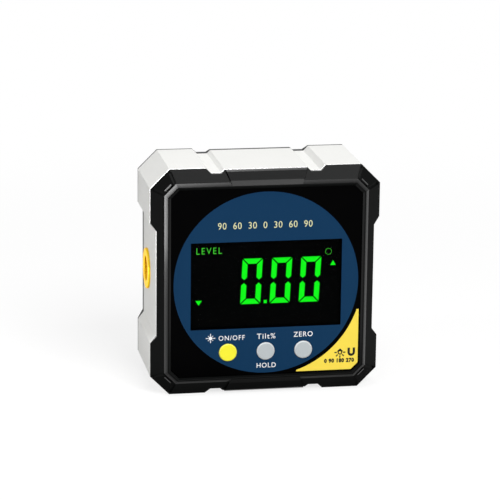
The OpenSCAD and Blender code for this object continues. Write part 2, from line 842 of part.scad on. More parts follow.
// Port ring: flange on the recess, sleeve through the wall and a step behind the lens
module port_ring() {
    edge = ring_proud / 4;
    inner_end = cavity_half - sleeve_past;
    base = recess_face - inner_end;
    color("#f2c53a")
    port_at(inner_end) turned([
        [ring_bore / 2 - lens_step, 0],
        [sleeve_d / 2, 0],
        [sleeve_d / 2, base],
        [ring_d / 2, base],
        [ring_d / 2, base + ring_proud - edge],
        [ring_d / 2 - edge, base + ring_proud],
        [ring_bore / 2 + edge, base + ring_proud],
        [ring_bore / 2, base + ring_proud - edge],
        [ring_bore / 2, lens_back],
        [ring_bore / 2 - lens_step, lens_back]
    ]);
}

module port_lens() {
    color("#8a5a48")
    port_at(cavity_half - sleeve_past + lens_back)
        cylinder(d = ring_bore - 2 * seat_play, h = lens_t);
}

// Beam module: turned brass barrel with its beam hole towards the port
module port_barrel() {
    front = cavity_half - sleeve_past - 2 * seat_play;
    edge = 0.4;
    r = barrel_d / 2;
    color("#b08d3c")
    port_at(front - barrel_len) turned([
        [0, 0],
        [r - edge, 0],
        [r, edge],
        [r, barrel_len - edge],
        [r - edge, barrel_len],
        [beam_hole_d / 2, barrel_len],
        [beam_hole_d / 2, barrel_len - beam_hole_len],
        [0, barrel_len - beam_hole_len]
    ]);
}

// Bent leads from each beam module to the board
module laser_leads() {
    barrel_end = cavity_half - sleeve_past - 2 * seat_play - barrel_len;
    reach = y_beam - y_board_back;
    bend = barrel_end - lead_run;
    color("#c03028")
    for (side = [0, 1], s = [-1, 1]) mirror([side, 0, 0])
        translate([bend, y_beam, half + s * lead_pitch / 2]) {
            rotate([0, 90, 0]) cylinder(d = lead_d, h = lead_run);
            sphere(d = lead_d);
            rotate([90, 0, 0]) cylinder(d = lead_d, h = reach);
        }
}

// Back cover: sloped plate with a lip, the battery bay, beam cradles and screw seats
module back_cover() {
    color("#17191b")
    difference() {
        union() {
            cover_plate();
            face_at(y_rear + back_edge) square_ring(
                frame_wall + lip_play, frame_wall + lip_play + lip_t, lip_len + back_edge);
            bay_shell(bay_wall);
            beam_cradles();
        }
        bay_space();
        door_space();
        face_at(y_back + cut) four_corners(post_at, post_at) {
            cylinder(d = screw_d + 4 * seat_play, h = back_depth + 2 * cut);
            cylinder(d = screw_head_d + 4 * door_clear, h = screw_seat + cut);
        }
        contact_slots();
    }
}

module cover_plate() {
    slope = back_run / (back_depth - back_edge);
    overrun = 1;
    face_at(y_back)
    intersection() {
        translate([0, 0, -cut]) linear_extrude(back_depth + cut) polygon(outline);
        stack(octagon, [
            [back_run, 0],
            [-overrun * slope, back_depth - back_edge + overrun],
            [-overrun * slope, back_depth + 2 * overrun]
        ]);
    }
}

// Outside of the bay: two round troughs below a shallow box
module bay_shell(wall) {
    r = trough_r + wall;
    w = bay_half + wall;
    for (s = [-1, 1]) translate([-w, y_cell, half + s * cell_offset]) {
        rotate([0, 90, 0]) cylinder(r = r, h = 2 * w);
        translate([0, 0, -r]) cube([2 * w, y_bay_rim - y_cell, 2 * r]);
    }
    translate([-w, y_web - web_t, half - cell_offset])
        cube([2 * w, y_bay_rim - y_web + web_t, 2 * cell_offset]);
}

// Inside of the bay, open to the door
module bay_space() {
    for (s = [-1, 1]) translate([-bay_half, y_cell, half + s * cell_offset]) {
        rotate([0, 90, 0]) cylinder(r = trough_r, h = 2 * bay_half);
        translate([0, 0, -trough_r]) cube([2 * bay_half, y_door - y_cell, 2 * trough_r]);
    }
    translate([-bay_half, y_web, half - bay_top])
        cube([2 * bay_half, y_door - y_web, 2 * bay_top]);
}

// Room for the door, its pivot pins and a finger at its lower edge
module door_space() {
    w = door_half + door_gap;
    top = pivot_at + barrel_r + door_gap;
    low = door_low + door_gap;
    scoop_r = 4;
    scoop_out = 2.4;
    translate([-w, y_bay_rim, half - low]) cube([2 * w, door_t + cut + door_clear, low + top]);
    translate([-w - pin_len, y_pivot, half + pivot_at]) rotate([0, 90, 0])
        cylinder(d = pin_d + 2 * pin_play, h = 2 * (w + pin_len));
    translate([-catch_w / 2, y_back + scoop_out, half - low]) rotate([0, 90, 0])
        cylinder(r = scoop_r, h = catch_w);
}

// Half round cradles that hold the beam barrels off the web
module beam_cradles() {
    cradle_t = 2;
    front = cavity_half - sleeve_past;
    first = 2.4;
    second = 8.4;
    hold = trough_r + bay_wall;
    for (side = [0, 1], at = [first, second]) mirror([side, 0, 0])
    difference() {
        translate([front - at - cradle_t, y_beam, half - cell_offset + hold - cut])
            cube([cradle_t, y_web - web_t - y_beam + cut, 2 * (cell_offset - hold + cut)]);
        translate([front - at - cradle_t - cut, y_beam, half]) rotate([0, 90, 0])
            cylinder(d = barrel_d + 2 * seat_play, h = cradle_t + 2 * cut);
    }
}

// Slots in the trough floors for the contacts' tails
module contact_slots() {
    slot_t = contact_t + 2 * seat_play;
    y_slot = y_cell - trough_r - bay_wall - cut;
    for (s = [-1, 1]) translate([-bay_half - seat_play, y_slot, half + s * cell_offset - tail_w / 2])
        cube([slot_t, trough_r, tail_w + 2 * seat_play]);
}

// Door: plate with a rolled pivot edge, moulded pins and a ribbed thumb catch
module battery_door() {
    slit = 0.8;
    dish = 0.6;
    rib_w = 0.7;
    rib_pitch = 1.6;
    margin = 0.6;
    catch_in = catch_w - 2 * slit;
    color("#1a1c1e")
    difference() {
        union() {
            translate([-door_half, y_door, half - door_low])
                cube([2 * door_half, door_t, door_low + pivot_at]);
            translate([-door_half, y_pivot, half + pivot_at]) rotate([0, 90, 0])
                cylinder(r = barrel_r, h = 2 * door_half);
            translate([-door_half - pin_len, y_pivot, half + pivot_at]) rotate([0, 90, 0])
                cylinder(d = pin_d, h = 2 * (door_half + pin_len));
        }
        for (s = [-1, 1])
            translate([(s * (catch_w - slit) - slit) / 2, y_door - cut, half - door_low - cut])
            cube([slit, door_t + 2 * cut, catch_len + cut]);
        translate([-catch_in / 2 + margin, y_back - dish, half - door_low + margin])
        difference() {
            cube([catch_in - 2 * margin, dish + cut, catch_len - 2 * margin]);
            for (k = [1 : 3]) translate([-cut, -cut, k * rib_pitch - rib_w / 2])
                cube([catch_in + 2 * cut, dish + cut, rib_w]);
        }
    }
}

module cover_screws() {
    color("#8f9398")
    face_at(y_back - screw_seat) four_corners(post_at, post_at)
        screw(screw_d, screw_len + y_back - screw_seat - y_rear - cut, screw_head_d, screw_head_h);
}

// Cell with its raised terminal pointing right
module battery_cell(s) {
    edge = 0.5;
    r = cell_d / 2;
    can = cell_len - cell_tip_h;
    color("#3f7d4a")
    mirror([s > 0 ? 0 : 1, 0, 0])
    translate([bay_half - contact_t - cell_len, y_cell, half + s * cell_offset])
    rotate([0, 90, 0]) turned([
        [0, 0],
        [r - edge, 0],
        [r, edge],
        [r, can - edge],
        [r - edge, can],
        [cell_tip_d / 2, can],
        [cell_tip_d / 2, cell_len],
        [0, cell_len]
    ]);
}

// Flat contact sheet on the bay's right end wall, with an optional tail forward to the board
module contact_sheet(s, tail) {
    tail_len = y_cell - y_board_back;
    low = y_cell - contact_w / 2;
    x = bay_half - contact_t;
    translate([x, low, half + s * cell_offset - contact_w / 2])
        cube([contact_t, contact_w, contact_w]);
    if (tail) translate([x, y_board_back, half + s * cell_offset - tail_w / 2 + seat_play])
        cube([contact_t, tail_len, tail_w]);
}

// Conical spring on the bay's right end wall, pressed against the cell's flat end
module contact_spring(s) {
    r_wide = contact_w / 2 - wire_d;
    r_tip = r_wide / 2;
    turn_steps = 14;
    rings = turn_steps * spring_turns;
    sides = 6;
    embed = wire_d / 3;
    start = bay_half - contact_t - embed;
    len = spring_room - embed - wire_d / 2 * sin(60);
    points = [
        for (i = [0 : rings], j = [0 : sides - 1])
            let (
                t = i / rings,
                a = 360 * spring_turns * t,
                b = 360 * j / sides,
                r = r_wide + (r_tip - r_wide) * t + wire_d / 2 * cos(b)
            )
            [start - len * t + wire_d / 2 * sin(b), r * cos(a), r * sin(a)]
    ];
    walls = [
        for (i = [0 : rings - 1], j = [0 : sides - 1])
            let (k = (j + 1) % sides)
            [i * sides + j, i * sides + k, (i + 1) * sides + k, (i + 1) * sides + j]
    ];
    first = [for (j = [sides - 1 : -1 : 0]) j];
    last = [for (j = [0 : sides - 1]) rings * sides + j];
    translate([0, y_cell, half + s * cell_offset]) polyhedron(points, concat([first], walls, [last]));
}

// Bridge at the right end: sheet under both cells, joined across the web
module contact_bridge() {
    strap_w = 2;
    color("#c8ccd0")
    union() {
        contact_sheet(1, false);
        contact_sheet(-1, false);
        contact_spring(-1);
        translate([bay_half - contact_t, y_web + seat_play, half - cell_offset])
            cube([contact_t, strap_w, 2 * cell_offset]);
    }
}

module contact_minus() {
    color("#c8ccd0")
    left_side() union() {
        contact_sheet(1, true);
        contact_spring(1);
    }
}

module contact_plus() {
    color("#c8ccd0")
    left_side() contact_sheet(-1, true);
}

frame();
front_bezel();
face_panel();
dial_print();
corner_print();
display_window();
lcd_cell();
lcd_backlight();
lcd_holder();
zebra_strip();
key_cap(-1, "#f8ee37");  // power_button
key_cap(0, "#bbc3c5");  // hold_button
key_cap(1, "#bbc3c5");  // zero_button
key_plunger(-1);  // power_plunger
key_plunger(0);  // hold_plunger
key_plunger(1);  // zero_plunger
key_switch(-1);  // power_switch
key_switch(0);  // hold_switch
key_switch(1);  // zero_switch
main_board();
controller_chip();
tilt_sensor();
board_parts();
board_screws();
left_side() port_ring();  // laser_ring_left
port_ring();  // laser_ring_right
left_side() port_lens();  // laser_lens_left
port_lens();  // laser_lens_right
left_side() port_barrel();  // laser_barrel_left
port_barrel();  // laser_barrel_right
laser_leads();
magnet_pair(0);  // magnets_top
magnet_pair(2);  // magnets_bottom
magnet_pair(3);  // magnets_left
magnet_pair(1);  // magnets_right
back_cover();
battery_door();
cover_screws();
battery_cell(1);  // cell_upper
battery_cell(-1);  // cell_lower
contact_bridge();
contact_plus();
contact_minus();
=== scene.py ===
"""Digital angle gauge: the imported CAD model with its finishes, print, lettering and lit display."""

import bpy
import numpy as np
from mathutils import Euler, Matrix, Vector


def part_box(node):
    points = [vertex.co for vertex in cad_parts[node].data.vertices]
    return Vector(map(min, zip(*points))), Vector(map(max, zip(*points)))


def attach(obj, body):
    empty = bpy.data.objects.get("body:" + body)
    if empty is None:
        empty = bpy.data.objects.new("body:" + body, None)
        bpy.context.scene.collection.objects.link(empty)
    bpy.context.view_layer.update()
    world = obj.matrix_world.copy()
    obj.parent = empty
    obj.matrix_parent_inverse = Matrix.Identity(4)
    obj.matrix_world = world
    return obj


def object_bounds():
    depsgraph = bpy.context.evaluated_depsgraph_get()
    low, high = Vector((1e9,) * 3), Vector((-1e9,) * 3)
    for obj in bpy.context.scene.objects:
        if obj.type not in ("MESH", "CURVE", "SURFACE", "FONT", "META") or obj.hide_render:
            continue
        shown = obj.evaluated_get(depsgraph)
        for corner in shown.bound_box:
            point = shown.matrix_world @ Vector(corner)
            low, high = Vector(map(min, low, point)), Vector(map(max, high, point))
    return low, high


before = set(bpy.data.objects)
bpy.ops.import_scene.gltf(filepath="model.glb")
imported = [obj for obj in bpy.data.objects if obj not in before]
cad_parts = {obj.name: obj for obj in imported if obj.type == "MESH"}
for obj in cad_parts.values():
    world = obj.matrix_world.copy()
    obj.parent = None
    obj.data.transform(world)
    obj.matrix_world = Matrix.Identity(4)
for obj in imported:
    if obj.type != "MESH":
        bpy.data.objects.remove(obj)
cad_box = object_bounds()
scene = bpy.context.scene
mm = 0.001

# Frame: a cut length of square aluminium extrusion with notched measuring faces and side recesses.
# It is blasted with fine beads and clear anodised, so only faint die lines are left along its
# length, and its sawn ends are chamfered bright.


class Shade:
    """A socket of one material. Operators on it add Math nodes, and add() brings any other node."""

    def __init__(self, tree, socket=None):
        self.tree = tree
        self.socket = socket

    def add(self, kind, settings=None, inputs=None, out=0):
        """Adds a node: its settings, then the values or links of its sockets. Gives one output."""
        made = self.tree.nodes.new(kind)
        for name, value in (settings or {}).items():
            setattr(made, name, value)
        for name, value in (inputs or {}).items():
            if isinstance(value, Shade):
                self.tree.links.new(value.socket, made.inputs[name])
            else:
                made.inputs[name].default_value = value
        return Shade(self.tree, made.outputs[out])

    def math(self, operation, first, second=0.0):
        return self.add("ShaderNodeMath", {"operation": operation}, {0: first, 1: second})

    def __add__(self, other):
        return self.math("ADD", self, other)

    def __sub__(self, other):
        return self.math("SUBTRACT", self, other)

    def __rsub__(self, other):
        return self.math("SUBTRACT", other, self)

    def __mul__(self, other):
        return self.math("MULTIPLY", self, other)

    def __gt__(self, other):
        return self.math("GREATER_THAN", self, other)

    def __lt__(self, other):
        return self.math("LESS_THAN", self, other)

    def __abs__(self):
        return self.math("ABSOLUTE", self)

    __radd__ = __add__
    __rmul__ = __mul__

    def vector(self, operation, other=(0, 0, 0), out="Vector"):
        return self.add("ShaderNodeVectorMath", {"operation": operation}, {0: self, 1: other}, out)

    def axis(self, name):
        """One axis of a vector: X, Y or Z."""
        return self.add("ShaderNodeSeparateXYZ", None, {0: self}, name)

    def shifted(self, offset):
        """A place moved by an offset, so that a pattern can be centred on a piece."""
        return self.add("ShaderNodeMapping", None, {"Vector": self, "Location": offset})

    def normal(self):
        """The direction in which the surface faces, in the object's axes."""
        return self.add("ShaderNodeTexCoord", out="Normal")

    def waves(self, pitch):
        """Sine of a length, from -1 to 1, with one wave in each pitch."""
        return self.math("SINE", self * (2 * np.pi / pitch))

    def ramp(self, low, high):
        """0 at low, 1 at high and a smooth step between them."""
        return self.add("ShaderNodeMapRange", {"interpolation_type": "SMOOTHSTEP"},
                        {"Value": self, "From Min": low, "From Max": high})

    def tint(self, first, second):
        """Colour that goes from first to second as this value goes from 0 to 1."""
        ends = [end if isinstance(end, Shade) else (*end, 1.0) for end in (first, second)]
        return self.add("ShaderNodeMix", {"data_type": "RGBA"}, {0: self, 6: ends[0], 7: ends[1]}, 2)

    def noise(self, cell, detail=2.0, stretch=(1, 1, 1)):
        """Noise of cells about so many metres across, drawn out along an axis of small stretch."""
        spread = self.add("ShaderNodeMapping", None, {"Vector": self, "Scale": stretch})
        return self.add("ShaderNodeTexNoise", None,
                        {"Vector": spread, "Scale": 1 / cell, "Detail": detail})

    def into(self, shader, socket):
        self.tree.links.new(self.socket, shader.inputs[socket])


def finish(name, **fixed):
    """New material. Fixed values go straight onto the shader's sockets, with _ for a space."""
    made = bpy.data.materials.new(name)
    made.use_nodes = True
    shader = made.node_tree.nodes["Principled BSDF"]
    for socket, value in fixed.items():
        shader.inputs[socket.replace("_", " ")].default_value = value
    place = Shade(made.node_tree).add("ShaderNodeTexCoord", out="Object")
    return made, shader, place


def raised(height, shader, depth, strength=1.0):
    """Feeds the shader's normal from a height that runs from 0 to 1 over a depth in metres."""
    height.add("ShaderNodeBump", None,
               {"Height": height, "Distance": depth, "Strength": strength}).into(shader, "Normal")


def between(low, high, share):
    """A value that goes from low to high as a share goes from 0 to 1."""
    return low + share * (high - low)


def grained(name, dark, light, cell, rough, depth, **fixed):
    """Finish with one fine noise: it tints from dark to light, spreads the roughness between two
    values and lifts the skin by a depth."""
    made, shader, place = finish(name, **fixed)
    grain = place.noise(cell, 3.0)
    grain.tint(dark, light).into(shader, "Base Color")
    between(*rough, grain).into(shader, "Roughness")
    raised(grain, shader, depth)
    return made


def dress(made, *names):
    """Puts a material on CAD nodes."""
    for name in names:
        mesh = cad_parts[name].data
        mesh.materials.clear()
        mesh.materials.append(made)


aluminium, shader, place = finish("blasted_aluminium", Specular_IOR_Level=0.08)
beads = place.noise(0.16 * mm, 3.0)
die_lines = place.noise(0.5 * mm, 2.0, (1, 0.02, 1))
patina = place.noise(14 * mm)
skin = beads * 0.4 + die_lines * 0.25 + patina * 0.35
near_end, far_end = (corner.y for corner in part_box("frame"))
chamfer = 0.33 * mm
depth_in = place.axis("Y")
bright_cut = (depth_in < near_end + chamfer) + (depth_in > far_end - chamfer)
blasted = skin.tint((0.79, 0.79, 0.765), (0.90, 0.90, 0.88))
bright_cut.tint(blasted, (0.98, 0.98, 0.97)).into(shader, "Base Color")
(0.03 + bright_cut * 0.92).into(shader, "Metallic")
(0.54 + beads * 0.14 * (1 - bright_cut) - bright_cut * 0.32).into(shader, "Roughness")
raised((beads * 0.8 + die_lines * 0.2) * (1 - bright_cut), shader, 0.006 * mm)
dress(aluminium, "frame")

# Magnets: nickel plated discs, glued into blind pockets behind the measuring pads.
# They are hidden once the case is closed.

nickel = grained("nickel_plate", (0.55, 0.56, 0.57), (0.68, 0.68, 0.67), 0.3 * mm, (0.22, 0.34),
                 0.002 * mm, Metallic=1.0)
dress(nickel, "magnets_top", "magnets_bottom", "magnets_left", "magnets_right")

# Side ports: turned rings, anodised yellow, pressed into the side walls over a smoked lens. Behind
# each lens lies a turned brass module with red leads to the board.

middle_z = (cad_box[0].z + cad_box[1].z) / 2
port_axis = Vector((0.0, sum(corner.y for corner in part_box("laser_ring_left")) / 2, middle_z))


def turned(name, dark, light, pitch, rough, **fixed):
    """Finish of a piece turned about the ports' axis: fine tool lines run round it and along it."""
    made, shader, place = finish(name, **fixed)
    centred = place.shifted(-port_axis)
    radius = centred.vector("MULTIPLY", (0, 1, 1)).vector("LENGTH", out="Value")
    lines = (radius + centred.axis("X")).waves(pitch)
    grain = place.noise(0.25 * mm)
    (grain * 0.7 + lines * 0.15 + 0.15).tint(dark, light).into(shader, "Base Color")
    between(*rough, grain).into(shader, "Roughness")
    raised(lines, shader, 0.004 * mm, 0.5)
    return made


ring_yellow = turned("yellow_anodised", (1.0, 0.60, 0.02), (1.0, 0.74, 0.05), 0.22 * mm,
                     (0.22, 0.32), Metallic=0.8, Specular_IOR_Level=0.2,
                     Specular_Tint=(1.0, 0.66, 0.06, 1.0))
dress(ring_yellow, "laser_ring_left", "laser_ring_right")
brass = turned("turned_brass", (0.40, 0.25, 0.05), (0.58, 0.40, 0.12), 0.3 * mm, (0.25, 0.4),
               Metallic=1.0)
dress(brass, "laser_barrel_left", "laser_barrel_right")
lens = grained("smoked_lens", (0.42, 0.33, 0.22), (0.58, 0.48, 0.34), 0.9 * mm, (0.06, 0.12),
               0.001 * mm, Alpha=0.85)
dress(lens, "laser_lens_left", "laser_lens_right")
lead_sleeve = grained("lead_sleeve", (0.45, 0.022, 0.016), (0.60, 0.04, 0.028), 0.4 * mm,
                      (0.45, 0.6), 0.004 * mm)
dress(lead_sleeve, "laser_leads")

# Front bezel: one black moulding with sloped sides, a raised rim and posts behind for the screws.
# The slopes have a fine spark texture. The rim's outer wall and the corner ribs are polished, and
# the rim's inner bevel is rougher, with some gloss left along its upright sides.

case_black, shader, place = finish("case_black", Specular_IOR_Level=0.06, Coat_Roughness=0.16,
                                   Coat_IOR=1.7)
spark = place.noise(0.11 * mm, 3.0)
cloud = place.noise(9 * mm)
mould_skin = spark * 0.6 + cloud * 0.4
mould_skin.tint((0.0008, 0.0010, 0.0010), (0.0020, 0.0023, 0.0022)).into(shader, "Base Color")

rim_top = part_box("front_bezel")[0].y
rim_foot = rim_top + 0.78 * mm
depth_in = place.axis("Y")
normal = place.normal()
from_middle = place.shifted((0, 0, -middle_z)).vector("MULTIPLY", (1, 0, 1))
outward = from_middle.vector("DOT_PRODUCT", normal, "Value")
steep = normal.axis("Y").ramp(-0.80, -0.76)
upright = abs(normal.axis("X")).ramp(0.2, 0.5)
by_rim = depth_in < rim_foot
leaning = (1 - steep) * by_rim * (depth_in > rim_top + 0.02 * mm)
inner_bevel = leaning * (outward < 0.0)

wall_gloss = between(0.2, 0.5, depth_in.ramp(rim_top, rim_top + 0.7 * mm))
facet_gloss, bevel_gloss, rib_gloss = 0.06, 0.15, 0.9
polished = by_rim * (outward > 0.0) * steep * wall_gloss
polished += leaning * (outward > 0.0) * facet_gloss
polished += inner_bevel * upright * bevel_gloss
polished += (1 - by_rim) * steep * rib_gloss
polished.into(shader, "Coat Weight")
(0.30 + spark * 0.14 + inner_bevel * 0.5).into(shader, "Roughness")
raised(spark, shader, 0.012 * mm, 0.6)
dress(case_black, "front_bezel")

# Display: a negative liquid crystal cell over a lit guide, held to the board by a white holder. Only
# the driven segments let the green light through; a rubber strip joins the cell to the board.


def piece(name, mesh, made):
    """Makes an object of a mesh that is already in place, and lets it ride on the gauge's body."""
    mesh.materials.clear()
    mesh.materials.append(made)
    holder = bpy.data.objects.new(name, mesh)
    scene.collection.objects.link(holder)
    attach(holder, "gauge")


def prisms(name, outlines, front, depth):
    """Mesh of straight prisms: each outline of (x, z) millimetres about the face's middle,
    anticlockwise to the viewer, is carried back from the plane y = front by a depth in metres."""
    points, faces, start = [], [], 0
    for outline in outlines:
        flat = np.asarray(outline, float) * mm
        count = len(flat)
        near = np.column_stack([flat[:, 0], np.full(count, front), flat[:, 1] + middle_z])
        points += [near, near + (0, depth, 0)]
        ring = start + np.arange(count)
        after = np.roll(ring, -1)
        faces += [ring.tolist(), (ring[::-1] + count).tolist()]
        faces += np.column_stack([ring, ring + count, after + count, after]).tolist()
        start += 2 * count
    mesh = bpy.data.meshes.new(name)
    mesh.from_pydata(np.concatenate(points).tolist(), [], faces)
    return mesh


def lettering(words, span, rise, front, depth, weight=0.0, spacing=1.0):
    """Mesh of a line of letters: the font's own outline, stretched to fill a span of x and a rise of
    z in millimetres about the face's middle, and carried back from y = front by a depth."""
    line = bpy.data.curves.new(words, "FONT")
    line.body = words
    line.extrude = 0.1
    line.offset = weight
    line.space_character = spacing
    line.resolution_u = 4
    holder = bpy.data.objects.new(words, line)
    scene.collection.objects.link(holder)
    shown = holder.evaluated_get(bpy.context.evaluated_depsgraph_get())
    mesh = bpy.data.meshes.new_from_object(shown)
    bpy.data.objects.remove(holder)
    bpy.data.curves.remove(line)
    flat = np.empty(3 * len(mesh.vertices), np.float32)
    mesh.vertices.foreach_get("co", flat)
    flat = flat.reshape(-1, 3)
    share = (flat - flat.min(0)) / np.ptp(flat, axis=0)
    put = np.column_stack([
        between(*span, share[:, 0]) * mm,
        front + (1 - share[:, 2]) * depth,
        between(*rise, share[:, 1]) * mm + middle_z,
    ])
    mesh.vertices.foreach_set("co", put.astype(np.float32).ravel())
    mesh.update()
    return mesh


def hoop(across, up, outer, inner, first=0.0, last=360.0, count=48):
    """Outlines of a flat ring or part of one, as quads from one angle to the next in degrees."""
    angle = np.radians(np.linspace(first, last, count + 1))
    ray = np.column_stack([np.cos(angle), np.sin(angle)])
    middle = np.array([across, up])
    far, near = middle + outer * ray, middle + inner * ray
    return list(np.stack([near[:-1], far[:-1], far[1:], near[1:]], axis=1))


def nought(left, low, width, height, stroke, slant):
    """Six outlines of a nought in seven segments, leaning by slant: two bars with mitred ends, and
    four posts that are mitred at the bars and pointed at the middle."""
    half = height / 2
    slit, tip, shoulder = 0.22, 0.42, 1.05
    bar = np.array([(slit, half), (stroke + slit, half - stroke),
                    (width - stroke - slit, half - stroke), (width - slit, half)])
    post = np.array([(0, half - slit), (0, shoulder), (stroke / 2, tip), (stroke, shoulder),
                     (stroke, half - stroke - slit)])
    outlines = []
    for shape in (bar, post, post * (-1, 1) + (width, 0)):
        for flip in (1, -1):
            put = shape * (1, flip)
            after = np.roll(put, -1, axis=0)
            anticlockwise = np.sum(put[:, 0] * after[:, 1] - put[:, 1] * after[:, 0]) > 0
            put = put if anticlockwise else put[::-1]
            lean = np.column_stack([slant * put[:, 1], np.zeros(len(put))])
            outlines.append(put + lean + (left, low + half))
    return outlines


def lit(name, dim, bright, strength):
    """Finish of a driven segment: nearly black itself, with soft clouds in the light behind it."""
    made, shader, place = finish(name, Base_Color=(0.0, 0.02, 0.001, 1.0), Roughness=0.6,
                                 Specular_IOR_Level=0.1, Emission_Strength=strength)
    place.noise(1.6 * mm).tint(dim, bright).into(shader, "Emission Color")
    return made


lit_depth = 0.04 * mm
lit_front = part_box("lcd_cell")[0].y - lit_depth

digit_lefts, digit_low = (-6.37, 1.37, 9.05), -6.06
digit_w, digit_h, digit_stroke, digit_slant = 5.27, 12.14, 1.38, 0.047
number = [outline for left in digit_lefts
          for outline in nought(left, digit_low, digit_w, digit_h, digit_stroke, digit_slant)]
point = [(-0.45, -6.0), (0.35, -6.0), (0.35, -5.15), (-0.45, -5.15)]
up_mark = [(16.98, 3.6), (18.45, 3.6), (17.71, 4.89)]
down_mark = [(-18.36, -4.73), (-17.54, -6.01), (-16.72, -4.73)]
segments = prisms("segments", number + [point, up_mark, down_mark], lit_front, lit_depth)
lit_green = lit("lit_green", (0.0, 0.90, 0.003), (0.002, 1.0, 0.008), 1.08)
piece("display_segments", segments, lit_green)
degree = prisms("degree", hoop(16.47, 7.30, 0.83, 0.765), lit_front, lit_depth)
thin_green = lit("thin_green", (0.05, 0.72, 0.03), (0.09, 0.88, 0.05), 1.0)
piece("display_degree", degree, thin_green)
level = lettering("LEVEL", (-18.15, -11.55), (7.65, 9.32), lit_front, lit_depth, -0.012, 1.3)
piece("display_level", level, thin_green)

display_black = grained("display_black", (0.0002, 0.0003, 0.0003), (0.0008, 0.0009, 0.0009), 3 * mm,
                        (0.12, 0.2), 0.0002 * mm, Specular_IOR_Level=0.008)
dress(display_black, "lcd_cell")
light_guide = grained("light_guide", (0.76, 0.86, 0.72), (0.86, 0.92, 0.82), 0.7 * mm, (0.3, 0.45),
                      0.002 * mm)
dress(light_guide, "lcd_backlight")
holder_white = grained("holder_white", (0.82, 0.82, 0.79), (0.92, 0.92, 0.89), 0.2 * mm, (0.5, 0.65),
                       0.006 * mm)
dress(holder_white, "lcd_holder")

zebra, shader, place = finish("zebra_rubber", Roughness=0.8)
layers = place.axis("X").waves(0.2 * mm)
layers.ramp(-0.2, 0.2).tint((0.06, 0.05, 0.05), (0.62, 0.42, 0.37)).into(shader, "Base Color")
raised(layers, shader, 0.01 * mm, 0.5)
dress(zebra, "zebra_strip")

window_clear, shader, place = finish("window_clear", Base_Color=(0.002, 0.0025, 0.003, 1.0),
                                     Roughness=0.12, Specular_IOR_Level=0.01)
(0.05 + place.noise(5 * mm) * 0.03).into(shader, "Alpha")
dress(window_clear, "display_window")

# Circuit board: green glass fibre board with the controller, the tilt sensor, small parts and three
# tact switches soldered to it, screwed to bosses on the bezel.

board_green, shader, place = finish("board_green", Roughness=0.35)
weave = place.noise(0.35 * mm)
laid_flat = place.add("ShaderNodeMapping", None, {"Vector": place, "Rotation": (np.pi / 2, 0, 0)})
tracks = place.add("ShaderNodeTexBrick", {"offset": 0.37, "squash": 0.6},
                   {"Vector": laid_flat, "Scale": 420.0, "Mortar Size": 0.035,
                    "Mortar Smooth": 0.2}, "Fac")
mask = weave.tint((0.010, 0.12, 0.032), (0.018, 0.18, 0.052))
tracks.tint(mask, (0.035, 0.27, 0.085)).into(shader, "Base Color")
raised(tracks, shader, 0.02 * mm, 0.5)
dress(board_green, "main_board")
chip_black = grained("chip_black", (0.009, 0.009, 0.01), (0.018, 0.018, 0.019), 0.12 * mm,
                     (0.5, 0.65), 0.006 * mm)
dress(chip_black, "controller_chip", "tilt_sensor")
parts_tan = grained("parts_tan", (0.40, 0.28, 0.10), (0.56, 0.43, 0.22), 0.8 * mm, (0.3, 0.5),
                    0.004 * mm, Metallic=0.2)
dress(parts_tan, "board_parts")
switch_dark = grained("switch_dark", (0.03, 0.034, 0.038), (0.05, 0.055, 0.06), 0.15 * mm,
                      (0.45, 0.6), 0.005 * mm)
dress(switch_dark, "power_switch", "hold_switch", "zero_switch")
zinc = grained("zinc_plate", (0.36, 0.38, 0.40), (0.56, 0.58, 0.60), 0.22 * mm, (0.28, 0.44),
               0.004 * mm, Metallic=1.0)
dress(zinc, "board_screws", "cover_screws")

# Face panel: a sheet of gloss black acrylic set into the rim, with a blue dial and a yellow corner
# printed on it. The lettering, the scale and the small pictures are a second print on top.

panel_black = grained("panel_black", (0.0002, 0.0002, 0.0003), (0.0008, 0.0008, 0.0009), 6 * mm,
                      (0.16, 0.24), 0.0002 * mm, Specular_IOR_Level=0.01)
dress(panel_black, "face_panel")
dial_blue = grained("dial_blue", (0.0050, 0.033, 0.086), (0.0058, 0.039, 0.100), 0.2 * mm,
                    (0.34, 0.46), 0.002 * mm, Specular_IOR_Level=0.05)
dress(dial_blue, "dial_print")
corner_yellow = grained("corner_yellow", (0.97, 0.73, 0.075), (1.0, 0.78, 0.10), 0.2 * mm,
                        (0.36, 0.48), 0.002 * mm, Specular_IOR_Level=0.15)
dress(corner_yellow, "corner_print")

ink_depth = 0.02 * mm
ink_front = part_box("dial_print")[0].y - ink_depth


def ink(name, dark, light):
    """Finish of screen printed ink: matt, with a very fine grain."""
    return grained(name, dark, light, 0.15 * mm, (0.45, 0.6), 0.002 * mm, Specular_IOR_Level=0.2)


def rays(across, up, inner, outer, width, first, step, count):
    """Outlines of thin bars that stand round a point, one each step of degrees."""
    angle = np.radians(first + step * np.arange(count))
    ray = np.column_stack([np.cos(angle), np.sin(angle)])
    side = np.column_stack([-ray[:, 1], ray[:, 0]]) * width / 2
    middle = np.array([across, up])
    near, far = middle + inner * ray, middle + outer * ray
    return list(np.stack([near - side, far - side, far + side, near + side], axis=1))


def disc(across, up, radius, count=32):
    """Outline of a round spot."""
    angle = np.radians(np.linspace(0, 360, count, endpoint=False))
    return np.column_stack([across + radius * np.cos(angle), up + radius * np.sin(angle)])


ink_white = ink("ink_white", (0.93, 0.93, 0.94), (1.0, 1.0, 1.0))
ink_cream = ink("ink_cream", (0.70, 0.70, 0.38), (0.80, 0.80, 0.48))
ink_black = ink("ink_black", (0.004, 0.004, 0.004), (0.009, 0.009, 0.009))

